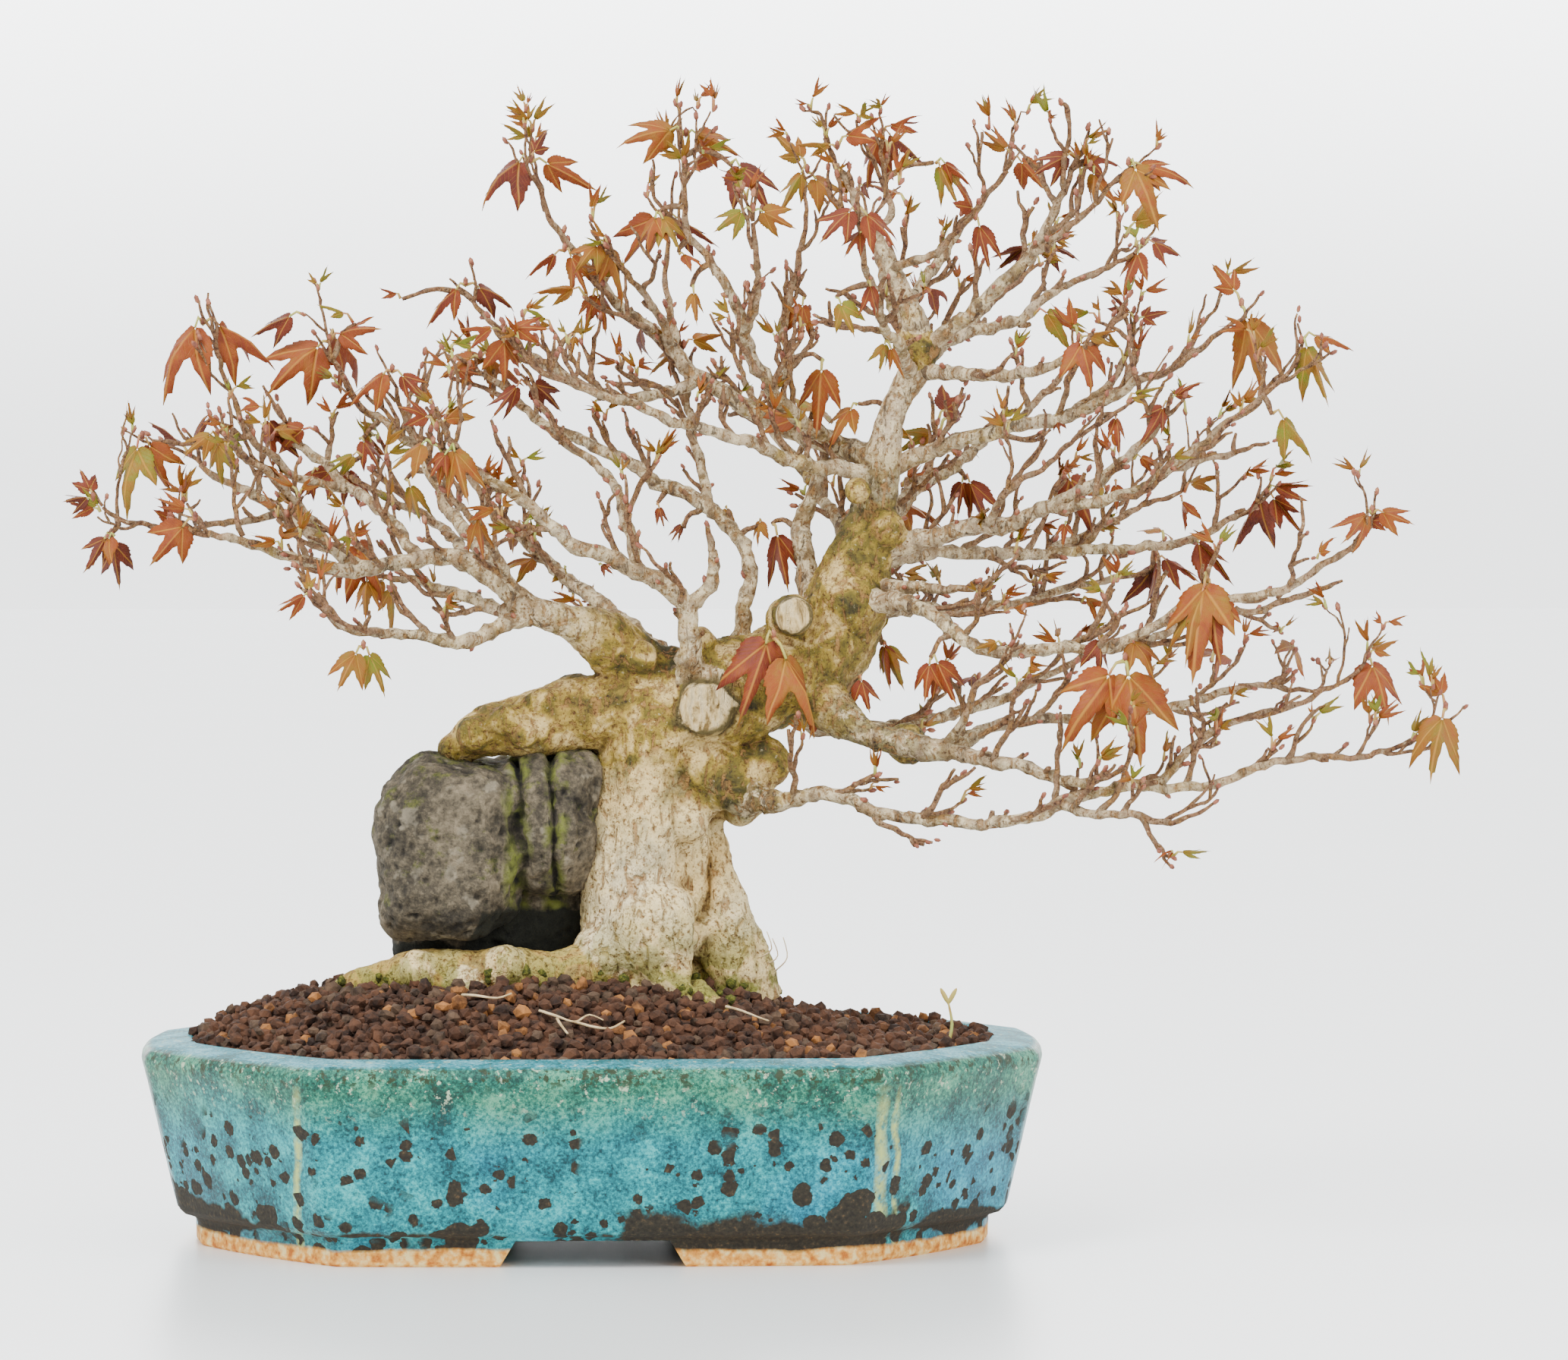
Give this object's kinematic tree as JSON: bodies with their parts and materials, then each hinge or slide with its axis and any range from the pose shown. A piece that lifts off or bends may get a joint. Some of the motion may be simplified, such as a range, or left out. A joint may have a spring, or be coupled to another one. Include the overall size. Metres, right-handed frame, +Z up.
{
  "type": "bonsai tree in a pot",
  "caption": "Bonsai maple with spreading bare limbs and young three-lobed leaves, rooted over a rock in an elongated eight-sided glazed pot with C-shaped feet.",
  "frame": {"origin": "on the ground under the middle of the whole object's box", "axes": "+Z up, +X along the pot's long side towards the longer right-hand limbs, -Y the tree's front"},
  "size_m": [0.3967, 0.1972, 0.3267],
  "materials": {
    "turquoise_glaze": "gloss",
    "akadama_soil": "matte",
    "grey_rock": "matte",
    "maple_bark": "matte",
    "young_leaf": "satin",
    "black_plastic_mesh": "matte",
    "aluminium_wire": "satin"
  },
  "bodies": {
    "root": {"drain_screen_left": "black_plastic_mesh", "drain_screen_right": "black_plastic_mesh", "leaf_shoot_01": "young_leaf", "leaf_shoot_02": "young_leaf", "leaf_shoot_03": "young_leaf", "leaf_shoot_04": "young_leaf", "leaf_shoot_05": "young_leaf", "leaf_shoot_06": "young_leaf", "leaf_shoot_07": "young_leaf", "leaf_shoot_08": "young_leaf", "leaf_shoot_09": "young_leaf", "leaf_shoot_10": "young_leaf", "leaf_shoot_11": "young_leaf", "leaf_shoot_12": "young_leaf", "leaf_shoot_13": "young_leaf", "leaf_shoot_14": "young_leaf", "leaf_shoot_15": "young_leaf", "leaf_shoot_16": "young_leaf", "leaf_shoot_17": "young_leaf", "leaf_shoot_18": "young_leaf", "leaf_shoot_19": "young_leaf", "leaf_shoot_20": "young_leaf", "leaf_shoot_21": "young_leaf", "leaf_shoot_22": "young_leaf", "leaf_shoot_23": "young_leaf", "leaf_shoot_24": "young_leaf", "leaf_shoot_25": "young_leaf", "leaf_shoot_26": "young_leaf", "leaf_shoot_27": "young_leaf", "leaf_shoot_28": "young_leaf", "leaf_shoot_29": "young_leaf", "leaf_shoot_30": "young_leaf", "leaf_shoot_31": "young_leaf", "leaf_shoot_32": "young_leaf", "leaf_shoot_33": "young_leaf", "leaf_shoot_34": "young_leaf", "leaf_shoot_35": "young_leaf", "leaf_shoot_36": "young_leaf", "leaf_shoot_37": "young_leaf", "leaf_shoot_38": "young_leaf", "leaf_shoot_39": "young_leaf", "leaf_shoot_40": "young_leaf", "leaf_shoot_41": "young_leaf", "leaf_shoot_42": "young_leaf", "leaf_shoot_43": "young_leaf", "leaf_shoot_44": "young_leaf", "leaf_shoot_45": "young_leaf", "leaf_shoot_46": "young_leaf", "leaf_shoot_47": "young_leaf", "leaf_shoot_48": "young_leaf", "leaf_shoot_49": "young_leaf", "leaf_shoot_50": "young_leaf", "leaf_shoot_51": "young_leaf", "pot": "turquoise_glaze", "rock": "grey_rock", "screen_clip_left": "aluminium_wire", "screen_clip_right": "aluminium_wire", "soil": "akadama_soil", "wood": "maple_bark"}
  },
  "joints": []
}
